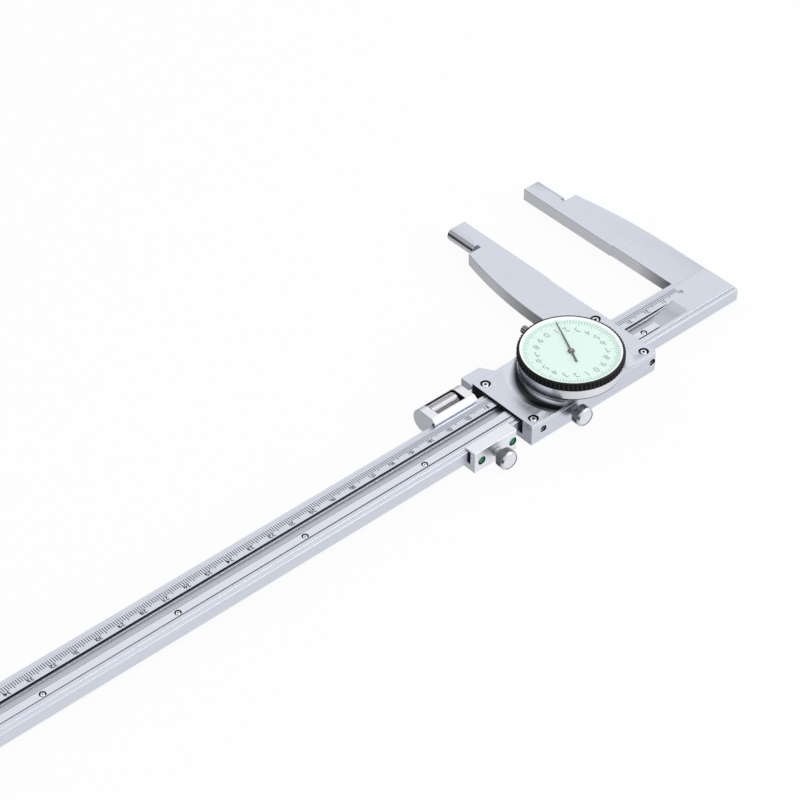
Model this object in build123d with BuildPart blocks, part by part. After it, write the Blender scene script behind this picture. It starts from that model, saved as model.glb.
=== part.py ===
from build123d import *
import os
from math import asin, atan2, ceil, cos, degrees, pi, radians, sin, sqrt

# Long-jaw dial caliper, 0 to 500 mm, shown open by 35.15 mm.
# Millimetres. X runs along the beam with 0 on the fixed measuring face, Y runs across the beam
# with 0 on its centre line and the jaws towards -Y, Z is up with 0 on the beam's underside.

# Reading and travel
measuring_range = 500.0
opening = 35.15
fine_travel_out = 3.0
fine_travel_in = 4.0

# Fits and gaps
slide_gap = 0.03
shaft_gap = 0.02
screw_gap = 0.05
stop_gap = 2.7
ear_gap = 0.75

# Beam and its fixed jaw
beam_width = 20.66
beam_thick = 6.0
beam_behind = 18.85
land_step = 0.2
land_low_edge = 1.96
land_high_edge = 2.2
jaw_reach = 88.8
face_length = 53.7
face_relief = 0.5
nib_length = 15.55
nib_width = 10.0
nib_flat = 8.2
neck_length = 2.3
neck_width = 7.0
shoulder_width = 14.0
sliding_jaw_width = 20.65
jaw_bend = 19.67
beam_end_chamfer = 0.4

# Groove and rack
groove_low = -2.4
groove_high = 6.42
groove_depth = 2.0
groove_start = 7.15
cutter_radius = 57.0
rack_start = 22.9
rack_front = 2.1
rack_back = 6.0
rack_pitch = 1.25
rack_addendum = 0.4
rack_dedendum = 0.55
rack_over = 8.0

# Slider body, cover plate and gib
slider_front = 1.45
slider_length = 69.5
slider_half_width = 17.3
slider_floor = 2.57
plate_thick = 1.27
slider_corner = 0.6
gib_thick = 1.5
gib_height = 5.2
gib_end_gap = 0.7
ear_length = 9.95
ear_reach = 6.5
ear_slope = 3.0
ear_root = 1.3

# Thumb screws
thumb_radius = 4.25
thumb_shank = 1.9
thumb_head = 4.6
thumb_chamfer = 0.5
thumb_tip_gap = 0.1
slider_thumb_place = 47.6
slider_thumb_height = 2.7
slider_thumb_front = 6.7
carriage_thumb_place = 11.3
carriage_thumb_height = 2.1
carriage_thumb_front = 8.15

# Fine-adjustment carriage, its nut and the screwed rod
carriage_length = 22.6
carriage_half_width = 14.1
carriage_floor = 2.97
carriage_gib_thick = 1.0
carriage_gib_height = 4.8
carriage_lip_reach = 2.0
carriage_lip_top = 0.8
carriage_corner = 0.6
rod_line = -16.8
rod_height = 3.55
housing_radius = 5.05
housing_flat_end = 6.0
housing_lip_reach = 1.3
housing_edge = 1.29
housing_relief_low = -0.4
housing_relief_high = 0.9
housing_relief_height = 0.67
window_start = 4.2
window_length = 14.4
window_low = 3.1
window_high = 5.1
nut_radius = 4.3
nut_room = 0.2
nut_end_gap = 0.1
rod_radius = 1.5
rod_room = 0.1
rod_socket = 9.0
rod_end_gap = 0.85

# Dial: pedestal, case, bezel and crystal
dial_place = 36.2
dial_line = 2.8
pedestal_radius = 21.3
pedestal_flare = 2.4
pedestal_height = 2.7
spigot_radius = 20.3
spigot_height = 0.4
case_radius = 21.0
case_height = 4.4
case_bore = 19.6
case_floor = 0.8
bezel_radius = 21.8
bezel_height = 3.65
bezel_gap = 0.05
bezel_inner = 20.6
bezel_chamfer = 0.35
bezel_ledge = 2.05
skirt_length = 3.3
skirt_wall = 0.85
seat_gap = 0.05
dial_face_thick = 0.4
dial_hole = 1.3
crystal_rise = 0.7
crystal_thick = 0.45
lock_height = 1.6
lock_shank = 0.7
lock_head = 1.9
lock_head_length = 3.2
lock_head_start = 3.4

# Gear train: rack, rack pinion, wheel, pointer pinion
drive_teeth = 8
drive_root = 0.48
drive_root_half = 0.33
drive_pitch_half = 0.22
drive_tip = 0.33
drive_tip_half = 0.06
wheel_teeth = 60
wheel_root = 0.33
wheel_tip = 0.23
pointer_teeth = 12
pointer_root = 0.33
pointer_root_half = 0.2
pointer_tip = 0.2
pointer_tip_half = 0.07
train_module = 0.27
arbor_radius = 0.6
pinion_lift = 0.15
pinion_length = 1.65
wheel_rise = 1.4
wheel_thick = 0.6
bridge_rise = 3.0
bridge_thick = 0.8
bridge_radius = 17.2
bridge_spread = 9.0
bridge_nose = 3.2
pillar_place = 15.3
pillar_radius = 1.3
pillar_angles = (100.0, 255.0, 350.0)

# Pointer
blade_length = 18.6
blade_root = 0.62
blade_tip = 0.12
tail_length = 6.9
tail_root = 0.9
pointer_thick = 0.2
pointer_rise = 0.3
pointer_hub = 1.4
reading_angle = 25.4

# End stop
stop_length = 8.0
stop_thick = 2.0

# Places worked out from the sizes above
half_beam = beam_width / 2
tip_y = -(half_beam + jaw_reach)
face_end_y = tip_y + face_length
neck_y = tip_y + nib_length
shoulder_y = neck_y + neck_length
bend_y = -(half_beam + jaw_bend)
jaw_top = beam_thick - land_step
groove_floor = beam_thick - groove_depth
slider_x = opening + slider_front
slider_end = slider_x + slider_length
slider_low = -slide_gap - slider_floor
plate_low = beam_thick + slide_gap
plate_top = plate_low + plate_thick
channel_low = -half_beam - slide_gap
channel_high = half_beam + 2 * slide_gap + gib_thick
thumb_bore = thumb_shank + screw_gap
carriage_gap = fine_travel_in + ear_gap
carriage_x = slider_end + carriage_gap
carriage_end = carriage_x + carriage_length
carriage_low = -slide_gap - carriage_floor
carriage_channel_high = half_beam + 2 * slide_gap + carriage_gib_thick
nut_x = carriage_x + window_start + nut_end_gap
nut_length = window_length - 2 * nut_end_gap
rod_reach = carriage_gap + window_start + window_length - fine_travel_in - rod_end_gap
beam_end = carriage_end - opening + measuring_range + fine_travel_out + stop_gap + stop_length
dial_x = opening + dial_place
pedestal_top = plate_top + pedestal_height
case_low = pedestal_top + spigot_height
case_top = case_low + case_height
floor_top = case_low + case_floor
bezel_low = case_top + bezel_gap
bezel_top = bezel_low + bezel_height
dial_low = bezel_low + bezel_ledge
dial_top = dial_low + dial_face_thick
crystal_low = dial_top + crystal_rise
skirt_radius = case_bore - bezel_gap
lock_z = case_low + lock_height

# The pinion rolls on the rack's pitch line and the wheel's centre distance reaches the dial centre
pitch_line = rack_front + rack_addendum
drive_radius = drive_teeth * rack_pitch / (2 * pi)
drive_y = pitch_line - drive_radius
train_distance = (wheel_teeth + pointer_teeth) * train_module / 2
train_rise = dial_line - drive_y
drive_x = dial_x - sqrt(train_distance**2 - train_rise**2)
train_angle = degrees(atan2(train_rise, dial_x - drive_x))
last_drive_x = drive_x - opening + measuring_range
rack_teeth = ceil((last_drive_x + rack_over - rack_start) / rack_pitch)
rack_end = rack_start + rack_teeth * rack_pitch
rack_offset = (drive_x - rack_start - rack_pitch / 2) % rack_pitch
drive_phase = 90.0 + 180.0 / drive_teeth + degrees(rack_offset / drive_radius)
pointer_phase = train_angle + 180.0 + 180.0 / pointer_teeth
arbor_bore = arbor_radius + shaft_gap
pinion_low = groove_floor + pinion_lift
wheel_low = floor_top + wheel_rise
bridge_low = floor_top + bridge_rise
bridge_top = bridge_low + bridge_thick
pointer_low = dial_top + pointer_rise
pointer_angle = 270.0 - reading_angle
dial_axis = Axis((dial_x, dial_line, 0), (0, 0, 1))
dial_section = Plane(origin=(dial_x, dial_line, 0), x_dir=(1, 0, 0), z_dir=(0, -1, 0))


def turned(radius, angle):
    """Point at a radius and an angle in degrees."""
    return (radius * cos(radians(angle)), radius * sin(radians(angle)))


def gear_corners(teeth, profile, phase):
    """Corners of a toothed wheel; profile lists (radius, half thickness) from root to tip."""
    corners = []
    for number in range(teeth):
        middle = phase + 360.0 * number / teeth
        for radius, half in profile:
            corners.append(turned(radius, middle - degrees(asin(half / radius))))
        for radius, half in reversed(profile):
            corners.append(turned(radius, middle + degrees(asin(half / radius))))
    return corners


def fine_gear_corners(teeth, phase):
    """Corners of a finely toothed wheel whose teeth run to a point."""
    pitch_radius = teeth * train_module / 2
    half_tooth = 180.0 / teeth
    corners = []
    for number in range(teeth):
        middle = phase + 2 * half_tooth * number
        corners.append(turned(pitch_radius - wheel_root, middle - half_tooth))
        corners.append(turned(pitch_radius + wheel_tip, middle))
    return corners


def arm_moment(length, root, end):
    """First moment about the dial's centre of one arm of the pointer, outside its hub."""
    straight = root * (length**2 - pointer_hub**2) / 2
    return straight + (end - root) * (length**3 - pointer_hub**3) / (3 * length)


def arm_corners(length, root, end, angle):
    """Corners of one arm of the pointer, root and end being its widths at the centre and far out."""
    side = turned(0.5, angle + 90.0)
    far = turned(length, angle)
    return [
        (root * side[0], root * side[1]),
        (far[0] + end * side[0], far[1] + end * side[1]),
        (far[0] - end * side[0], far[1] - end * side[1]),
        (-root * side[0], -root * side[1]),
    ]


def into_side(x, y, z):
    """Plane on a side face looking outwards along +Y."""
    return Plane(origin=(x, y, z), x_dir=(1, 0, 0), z_dir=(0, 1, 0))


def thumb_screw(front, reach):
    """Thumb screw about Z: z = 0 is the face it is screwed into, its shank ends at -reach."""
    with BuildPart() as screw:
        with BuildSketch(Plane.XY.offset(front)):
            Circle(thumb_radius)
        extrude(amount=-thumb_head)
        chamfer(screw.edges().sort_by(Axis.Z)[-1], length=thumb_chamfer)
        with BuildSketch(Plane.XY.offset(front - thumb_head)):
            Circle(thumb_shank)
        extrude(amount=thumb_head - front - reach)
    return screw.part


def jaw_outline(side, back, start):
    """Outline of a jaw; side is -1 for the fixed jaw, start is where it leaves its body."""
    with BuildLine() as line:
        front = Polyline(
            (side * face_relief, start),
            (side * face_relief, face_end_y),
            (0, face_end_y),
            (0, neck_y),
            (side * neck_width, neck_y),
            (side * neck_width, shoulder_y),
            (side * shoulder_width, shoulder_y),
        )
        spine = Line((side * back, bend_y), (side * back, start))
        TangentArc(spine @ 0, front @ 1, tangent=(0, -1))
        Line(spine @ 1, front @ 0)
    return line.line


def nib_section(side):
    """Cross-section of a jaw's end: flat measuring face, rounded outer side."""
    with BuildLine() as line:
        Polyline((side * nib_flat, 0), (0, 0), (0, jaw_top), (side * nib_flat, jaw_top))
        middle = (side * nib_width, jaw_top / 2)
        ThreePointArc((side * nib_flat, 0), middle, (side * nib_flat, jaw_top))
    return line.line


def save(piece, name):
    """Label a finished piece and write its STEP file."""
    piece.part.label = name
    export_step(piece.part, f"parts/{name}.step")


os.makedirs("parts", exist_ok=True)


# Beam with its fixed jaw, one forging
with BuildPart() as beam:
    with BuildSketch(Plane.XY):
        with Locations(((beam_end - beam_behind) / 2, 0)):
            Rectangle(beam_end + beam_behind, beam_width)
        with BuildLine():
            add(jaw_outline(-1, beam_behind, -half_beam))
        make_face()
    extrude(amount=jaw_top)
    with BuildSketch(Plane.XZ.offset(-neck_y)):
        with BuildLine():
            add(nib_section(-1))
        make_face()
    extrude(amount=nib_length)
    land_low = -half_beam + land_low_edge
    land_high = half_beam - land_high_edge
    with BuildSketch(Plane.XY.offset(jaw_top)):
        with Locations(((beam_end - beam_behind) / 2, (land_low + land_high) / 2)):
            Rectangle(beam_end + beam_behind, land_high - land_low)
    extrude(amount=land_step)
    run_out = sqrt(2 * cutter_radius * groove_depth - groove_depth**2)
    groove_end = rack_end + run_out + rack_pitch
    with BuildSketch(Plane.XZ.offset(-groove_high)):
        with BuildLine():
            floor_line = Line((groove_start + run_out, groove_floor), (groove_end - run_out, groove_floor))
            TangentArc(floor_line @ 0, (groove_start, beam_thick), tangent=(-1, 0))
            TangentArc(floor_line @ 1, (groove_end, beam_thick), tangent=(1, 0))
            Line((groove_start, beam_thick), (groove_end, beam_thick))
        make_face()
    extrude(amount=groove_high - groove_low, mode=Mode.SUBTRACT)
    far_edges = beam.faces().sort_by(Axis.X)[-1].edges().filter_by(Axis.Z)
    chamfer(far_edges, length=beam_end_chamfer)
save(beam, "beam")


# Rack, a toothed bar flush with the beam's top face
with BuildPart() as rack:
    tooth_line = []
    for number in range(rack_teeth):
        tooth_x = rack_start + rack_pitch * number
        tooth_line.append((tooth_x, pitch_line + rack_dedendum))
        tooth_line.append((tooth_x + rack_pitch / 2, rack_front))
    tooth_line.append((rack_end, pitch_line + rack_dedendum))
    with BuildSketch(Plane.XY.offset(groove_floor)):
        with BuildLine():
            Polyline(*tooth_line, (rack_end, rack_back), (rack_start, rack_back), close=True)
        make_face()
    extrude(amount=groove_depth)
save(rack, "rack")


# End stop that keeps the carriage on the beam
with BuildPart() as end_stop:
    with BuildSketch(Plane.XY.offset(beam_thick)):
        with Locations((beam_end - stop_length / 2, 0)):
            Rectangle(stop_length, beam_width)
    extrude(amount=stop_thick)
save(end_stop, "end_stop")


# Slider body with the sliding jaw and the ear that holds the fine-adjustment rod
with BuildPart() as slider_body:
    with BuildSketch(Plane.XY.offset(slider_low)):
        with Locations((slider_x + slider_length / 2, 0)):
            Rectangle(slider_length, 2 * slider_half_width)
        ear_x = slider_end - ear_length
        ear_y = -slider_half_width
        with BuildLine():
            Polyline(
                (slider_end, ear_y),
                (ear_x - ear_slope, ear_y),
                (ear_x - ear_slope, ear_y - ear_root),
                (ear_x, ear_y - ear_reach),
                (slider_end, ear_y - ear_reach),
                close=True,
            )
        make_face()
    extrude(amount=plate_low - slider_low)
    with BuildSketch(Plane(origin=(opening, 0, 0))):
        with BuildLine():
            add(jaw_outline(1, sliding_jaw_width, -slider_half_width))
        make_face()
    extrude(amount=jaw_top)
    with BuildSketch(Plane(origin=(opening, neck_y, 0), x_dir=(1, 0, 0), z_dir=(0, -1, 0))):
        with BuildLine():
            add(nib_section(1))
        make_face()
    extrude(amount=nib_length)
    with BuildSketch(Plane.XY.offset(-slide_gap)):
        with Locations((slider_x + slider_length / 2, (channel_low + channel_high) / 2)):
            Rectangle(slider_length, channel_high - channel_low)
    extrude(amount=plate_low + slide_gap, mode=Mode.SUBTRACT)
    with Locations(into_side(opening + slider_thumb_place, slider_half_width, slider_thumb_height)):
        Hole(thumb_bore, depth=slider_half_width - channel_high)
    with Locations(Plane(origin=(slider_end, rod_line, rod_height), z_dir=(1, 0, 0))):
        Hole(rod_radius, depth=rod_socket)
    corner = slider_body.edges().filter_by(Axis.Z).sort_by_distance((slider_x, slider_half_width, 0))[0]
    chamfer(corner, length=slider_corner)
save(slider_body, "slider_body")

with BuildPart() as slider_gib:
    with BuildSketch(Plane.XZ.offset(-half_beam - slide_gap)):
        with Locations((slider_x + slider_length / 2, beam_thick / 2)):
            Rectangle(slider_length - 2 * gib_end_gap, gib_height)
    extrude(amount=-gib_thick)
save(slider_gib, "slider_gib")

with BuildPart() as slider_clamp_screw:
    slider_shank = slider_half_width - half_beam - slide_gap - gib_thick - thumb_tip_gap
    with Locations(into_side(opening + slider_thumb_place, slider_half_width, slider_thumb_height)):
        add(thumb_screw(slider_thumb_front, slider_shank))
save(slider_clamp_screw, "slider_clamp_screw")

with BuildPart() as fine_adjust_rod:
    with BuildSketch(Plane.YZ.offset(slider_end - rod_socket)):
        with Locations((rod_line, rod_height)):
            Circle(rod_radius)
    extrude(amount=rod_socket + rod_reach)
save(fine_adjust_rod, "fine_adjust_rod")


# Cover plate with the raised seat of the dial case, cut off flush with the slider's sides
with BuildPart() as cover_plate:
    with BuildSketch(Plane.XY.offset(plate_low)) as plate_outline:
        with Locations((slider_x + slider_length / 2, 0)):
            Rectangle(slider_length, 2 * slider_half_width)
        corner = plate_outline.vertices().sort_by_distance((slider_x, slider_half_width, 0))[0]
        chamfer(corner, length=slider_corner)
    extrude(amount=plate_thick)
    flare_middle = pedestal_flare * (1 - sqrt(0.5))
    with BuildSketch(dial_section):
        with BuildLine():
            Polyline(
                (0, plate_top),
                (0, pedestal_top),
                (pedestal_radius, pedestal_top),
                (pedestal_radius, plate_top + pedestal_flare),
                (pedestal_radius + flare_middle, plate_top + flare_middle),
                (pedestal_radius + pedestal_flare, plate_top),
                close=True,
            )
        make_face()
    revolve(axis=dial_axis)
    split(bisect_by=into_side(0, slider_half_width, 0), keep=Keep.BOTTOM)
    split(bisect_by=into_side(0, -slider_half_width, 0), keep=Keep.TOP)
    with Locations((drive_x, drive_y, pedestal_top)):
        Hole(arbor_bore)
save(cover_plate, "cover_plate")


# Dial case, a cup on the pedestal
with BuildPart() as dial_case:
    with BuildSketch(dial_section):
        with BuildLine():
            Polyline(
                (0, pedestal_top),
                (spigot_radius, pedestal_top),
                (spigot_radius, case_low),
                (case_radius, case_low),
                (case_radius, case_top),
                (case_bore, case_top),
                (case_bore, floor_top),
                (0, floor_top),
                close=True,
            )
        make_face()
    revolve(axis=dial_axis)
    with Locations((drive_x, drive_y, floor_top), (dial_x, dial_line, floor_top)):
        Hole(arbor_bore)
    with Locations(Plane(origin=(dial_x, dial_line - case_radius, lock_z), z_dir=(0, -1, 0))):
        Hole(lock_shank + screw_gap, depth=2 * (case_radius - case_bore))
save(dial_case, "dial_case")

with BuildPart() as bezel_lock_screw:
    with BuildSketch(Plane(origin=(dial_x, dial_line, lock_z), x_dir=(1, 0, 0), z_dir=(0, 0, 1))):
        with BuildLine():
            Polyline(
                (0, -case_bore),
                (lock_shank, -case_bore),
                (lock_shank, -case_radius - lock_head_start),
                (lock_head, -case_radius - lock_head_start),
                (lock_head, -case_radius - lock_head_start - lock_head_length),
                (0, -case_radius - lock_head_start - lock_head_length),
                close=True,
            )
        make_face()
    revolve(axis=Axis((dial_x, dial_line, lock_z), (0, 1, 0)))
save(bezel_lock_screw, "bezel_lock_screw")


# Bezel and what turns with it: the dial face on its ledge and the crystal pressed into its mouth
with BuildPart() as bezel:
    with BuildSketch(dial_section):
        with BuildLine():
            Polyline(
                (skirt_radius - skirt_wall, bezel_low - skirt_length),
                (skirt_radius, bezel_low - skirt_length),
                (skirt_radius, bezel_low),
                (bezel_radius, bezel_low),
                (bezel_radius, bezel_top - bezel_chamfer),
                (bezel_radius - bezel_chamfer, bezel_top),
                (bezel_inner, bezel_top),
                (bezel_inner, dial_low),
                (skirt_radius - skirt_wall, dial_low),
                close=True,
            )
        make_face()
    revolve(axis=dial_axis)
save(bezel, "bezel")

with BuildPart() as dial_face:
    with BuildSketch(Plane(origin=(dial_x, dial_line, dial_low))):
        Circle(bezel_inner - seat_gap)
        Circle(dial_hole, mode=Mode.SUBTRACT)
    extrude(amount=dial_face_thick)
save(dial_face, "dial_face")

with BuildPart() as crystal:
    with BuildSketch(Plane(origin=(dial_x, dial_line, crystal_low))):
        Circle(bezel_inner)
    extrude(amount=crystal_thick)
save(crystal, "crystal")


# Movement: the bridge that carries the arbors' upper ends, on three posts
with BuildPart() as movement_pillars:
    with BuildSketch(Plane(origin=(dial_x, dial_line, floor_top))):
        with Locations(*[turned(pillar_place, angle) for angle in pillar_angles]):
            RegularPolygon(pillar_radius, 6)
    extrude(amount=bridge_rise)
save(movement_pillars, "movement_pillars")

with BuildPart() as movement_bridge:
    bridge_corners = []
    for angle in pillar_angles:
        bridge_corners.append(turned(bridge_radius, angle - bridge_spread))
        bridge_corners.append(turned(bridge_radius, angle + bridge_spread))
    bridge_corners.insert(2, turned(train_distance + bridge_nose, train_angle + 180.0))
    with BuildSketch(Plane(origin=(dial_x, dial_line, bridge_low))):
        with BuildLine():
            Polyline(*bridge_corners, close=True)
        make_face()
        with Locations((drive_x - dial_x, drive_y - dial_line), (0, 0)):
            Circle(arbor_bore, mode=Mode.SUBTRACT)
    extrude(amount=bridge_thick)
save(movement_bridge, "movement_bridge")


# Rack pinion, cut on the arbor that carries the wheel
with BuildPart() as rack_pinion:
    drive_tooth = [
        (drive_radius - drive_root, drive_root_half),
        (drive_radius, drive_pitch_half),
        (drive_radius + drive_tip, drive_tip_half),
    ]
    with BuildSketch(Plane(origin=(drive_x, drive_y, pinion_low))):
        with BuildLine():
            Polyline(*gear_corners(drive_teeth, drive_tooth, drive_phase), close=True)
        make_face()
    extrude(amount=pinion_length)
    with BuildSketch(Plane(origin=(drive_x, drive_y, pinion_low + pinion_length))):
        Circle(arbor_radius)
    extrude(amount=bridge_top - pinion_low - pinion_length)
save(rack_pinion, "rack_pinion")

with BuildPart() as drive_wheel:
    with BuildSketch(Plane(origin=(drive_x, drive_y, wheel_low))):
        with BuildLine():
            Polyline(*fine_gear_corners(wheel_teeth, train_angle), close=True)
        make_face()
        Circle(arbor_radius, mode=Mode.SUBTRACT)
    extrude(amount=wheel_thick)
save(drive_wheel, "drive_wheel")


# Pointer pinion, cut on the arbor that carries the pointer
with BuildPart() as pointer_pinion:
    pointer_radius = pointer_teeth * train_module / 2
    pointer_tooth = [
        (pointer_radius - pointer_root, pointer_root_half),
        (pointer_radius + pointer_tip, pointer_tip_half),
    ]
    with BuildSketch(Plane(origin=(dial_x, dial_line, pedestal_top + pinion_lift))):
        Circle(arbor_radius)
    extrude(amount=pointer_low + pointer_thick - pedestal_top - pinion_lift)
    with BuildSketch(Plane(origin=(dial_x, dial_line, wheel_low - pinion_lift))):
        with BuildLine():
            Polyline(*gear_corners(pointer_teeth, pointer_tooth, pointer_phase), close=True)
        make_face()
    extrude(amount=wheel_thick + 2 * pinion_lift)
save(pointer_pinion, "pointer_pinion")

with BuildPart() as pointer:
    # The tail widens until it balances the blade
    straight_tail = arm_moment(tail_length, tail_root, tail_root)
    lacking = arm_moment(blade_length, blade_root, blade_tip) - straight_tail
    tail_end = tail_root + lacking * 3 * tail_length / (tail_length**3 - pointer_hub**3)
    with BuildSketch(Plane(origin=(dial_x, dial_line, pointer_low))):
        with BuildLine():
            Polyline(*arm_corners(blade_length, blade_root, blade_tip, pointer_angle), close=True)
        make_face()
        with BuildLine():
            Polyline(*arm_corners(tail_length, tail_root, tail_end, pointer_angle + 180.0), close=True)
        make_face()
        Circle(pointer_hub)
        Circle(arbor_radius, mode=Mode.SUBTRACT)
    extrude(amount=pointer_thick)
save(pointer, "pointer")


# Fine-adjustment carriage: a bridge round the beam with the nut's housing on the jaw side
with BuildPart() as carriage_body:
    lip_low = -half_beam + housing_lip_reach
    lip_high = half_beam - carriage_lip_reach
    relief_low = -half_beam + housing_relief_low
    relief_high = -half_beam + housing_relief_high
    lip_top = beam_thick + carriage_lip_top
    housing_y = -half_beam - housing_radius / 2
    housing_top = rod_height + housing_radius
    with BuildSketch(Plane.YZ.offset(carriage_x)):
        with BuildLine():
            Polyline(
                (carriage_half_width, lip_top),
                (carriage_half_width, carriage_low),
                (housing_y, carriage_low),
                (housing_y, lip_top),
                close=True,
            )
        make_face()
        with BuildLine():
            Polyline(
                (rod_line, housing_top),
                (rod_line + housing_flat_end, housing_top),
                (lip_low, beam_thick + housing_edge),
                (lip_low, rod_height - housing_radius),
                (rod_line, rod_height - housing_radius),
                close=True,
            )
        make_face()
        with Locations((rod_line, rod_height)):
            Circle(housing_radius)
        with Locations(((channel_low + carriage_channel_high) / 2, beam_thick / 2)):
            Rectangle(carriage_channel_high - channel_low, beam_thick + 2 * slide_gap, mode=Mode.SUBTRACT)
        with Locations(((lip_low + lip_high) / 2, beam_thick)):
            Rectangle(lip_high - lip_low, beam_thick, mode=Mode.SUBTRACT)
        with Locations(((relief_low + relief_high) / 2, beam_thick)):
            Rectangle(relief_high - relief_low, 2 * housing_relief_height, mode=Mode.SUBTRACT)
    extrude(amount=carriage_length)
    with BuildSketch(Plane.YZ.offset(carriage_x + window_start)):
        with Locations((rod_line, rod_height)):
            Circle(nut_radius + nut_room)
        with Locations((rod_line + (window_high - window_low) / 2, rod_height)):
            Rectangle(window_low + window_high, 4 * housing_radius)
    extrude(amount=window_length, mode=Mode.SUBTRACT)
    with Locations(Plane(origin=(carriage_x, rod_line, rod_height), z_dir=(-1, 0, 0))):
        Hole(rod_radius + rod_room, depth=window_start)
    with Locations(into_side(carriage_x + carriage_thumb_place, carriage_half_width, carriage_thumb_height)):
        Hole(thumb_bore, depth=carriage_half_width - carriage_channel_high)
    cheek_top = (carriage_x, carriage_half_width, lip_top)
    corner = carriage_body.edges().filter_by(Axis.Z).sort_by_distance(cheek_top)[0]
    chamfer(corner, length=carriage_corner)
save(carriage_body, "carriage_body")

with BuildPart() as carriage_gib:
    with BuildSketch(Plane.XZ.offset(-half_beam - slide_gap)):
        with Locations((carriage_x + carriage_length / 2, beam_thick / 2)):
            Rectangle(carriage_length - 2 * gib_end_gap, carriage_gib_height)
    extrude(amount=-carriage_gib_thick)
save(carriage_gib, "carriage_gib")

with BuildPart() as carriage_clamp_screw:
    carriage_shank = carriage_half_width - half_beam - slide_gap - carriage_gib_thick - thumb_tip_gap
    with Locations(into_side(carriage_x + carriage_thumb_place, carriage_half_width, carriage_thumb_height)):
        add(thumb_screw(carriage_thumb_front, carriage_shank))
save(carriage_clamp_screw, "carriage_clamp_screw")

with BuildPart() as fine_adjust_nut:
    with BuildSketch(Plane.YZ.offset(nut_x)):
        with Locations((rod_line, rod_height)):
            Circle(nut_radius)
            Circle(rod_radius + shaft_gap, mode=Mode.SUBTRACT)
    extrude(amount=nut_length)
save(fine_adjust_nut, "fine_adjust_nut")
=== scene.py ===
import math

import bmesh
import bpy
from mathutils import Euler, Matrix, Vector


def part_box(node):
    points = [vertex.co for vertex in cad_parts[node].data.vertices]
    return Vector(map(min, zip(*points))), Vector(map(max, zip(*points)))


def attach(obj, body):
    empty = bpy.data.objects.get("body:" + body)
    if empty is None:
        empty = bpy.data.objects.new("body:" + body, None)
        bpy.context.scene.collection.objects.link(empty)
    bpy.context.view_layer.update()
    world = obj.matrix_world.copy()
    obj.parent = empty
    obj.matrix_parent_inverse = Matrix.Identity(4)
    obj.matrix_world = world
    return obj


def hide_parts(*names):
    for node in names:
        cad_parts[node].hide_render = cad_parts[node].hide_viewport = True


bl_info = {
    "name": "Long-jaw dial caliper",
    "version": (1, 0, 0),
    "blender": (4, 5, 0),
    "location": "View3D > Sidebar > Caliper",
    "description": "Finishes, scale, dial, knurls and small screws for the packed dial caliper",
    "category": "Object",
}

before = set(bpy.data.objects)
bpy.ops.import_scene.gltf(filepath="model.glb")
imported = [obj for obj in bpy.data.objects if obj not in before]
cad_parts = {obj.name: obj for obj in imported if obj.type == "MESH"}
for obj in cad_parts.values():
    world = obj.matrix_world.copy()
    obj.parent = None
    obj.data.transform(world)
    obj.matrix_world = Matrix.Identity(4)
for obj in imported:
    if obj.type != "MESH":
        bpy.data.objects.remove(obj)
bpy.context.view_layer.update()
MM = 0.001
UP = (0, 0, 1)
SIDE = (0, 1, 0)


def middle(node):
    """Middle of a CAD node's box."""
    low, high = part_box(node)
    return (low + high) / 2


# Places that the frame gives
BEAM_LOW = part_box("beam")[0]
RACK_LOW, RACK_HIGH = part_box("rack")
BEZEL_LOW, BEZEL_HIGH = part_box("bezel")
FACE_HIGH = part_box("dial_face")[1]
DIAL_CENTRE = middle("dial_face")

# Places of edges and small screws
SLIDER_SIDE = 17.3 * MM
CARRIAGE_SIDE = 14.1 * MM
PLATE_START = 36.6 * MM
PLATE_END = 106.1 * MM
PLATE_TOP = 7.3 * MM
PLATE_SCREW_INSET = 4 * MM
PLATE_SCREW_Y = 13.8 * MM
PLATE_SCREW_BORE = 2.1 * MM
PLATE_SCREW_SUNK = 1.15 * MM
CARRIAGE_START = 110.85 * MM
NIB_START = -81.4 * MM
RACK_SCREWS = 9
RACK_SCREW_STEP = 60.0 * MM
SLIDER_SET_SCREWS = [(x * MM, SLIDER_SIDE, 2.6 * MM) for x in (38.75, 99.65)]
CARRIAGE_SET_SCREWS = [(CARRIAGE_START + x * MM, CARRIAGE_SIDE, 1.6 * MM) for x in (2.3, 18.8)]
SLIDER_SET_BORE = 1.5 * MM
SLIDER_SET_SUNK = 1.1 * MM
CARRIAGE_SET_BORE = 1.85 * MM


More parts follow.
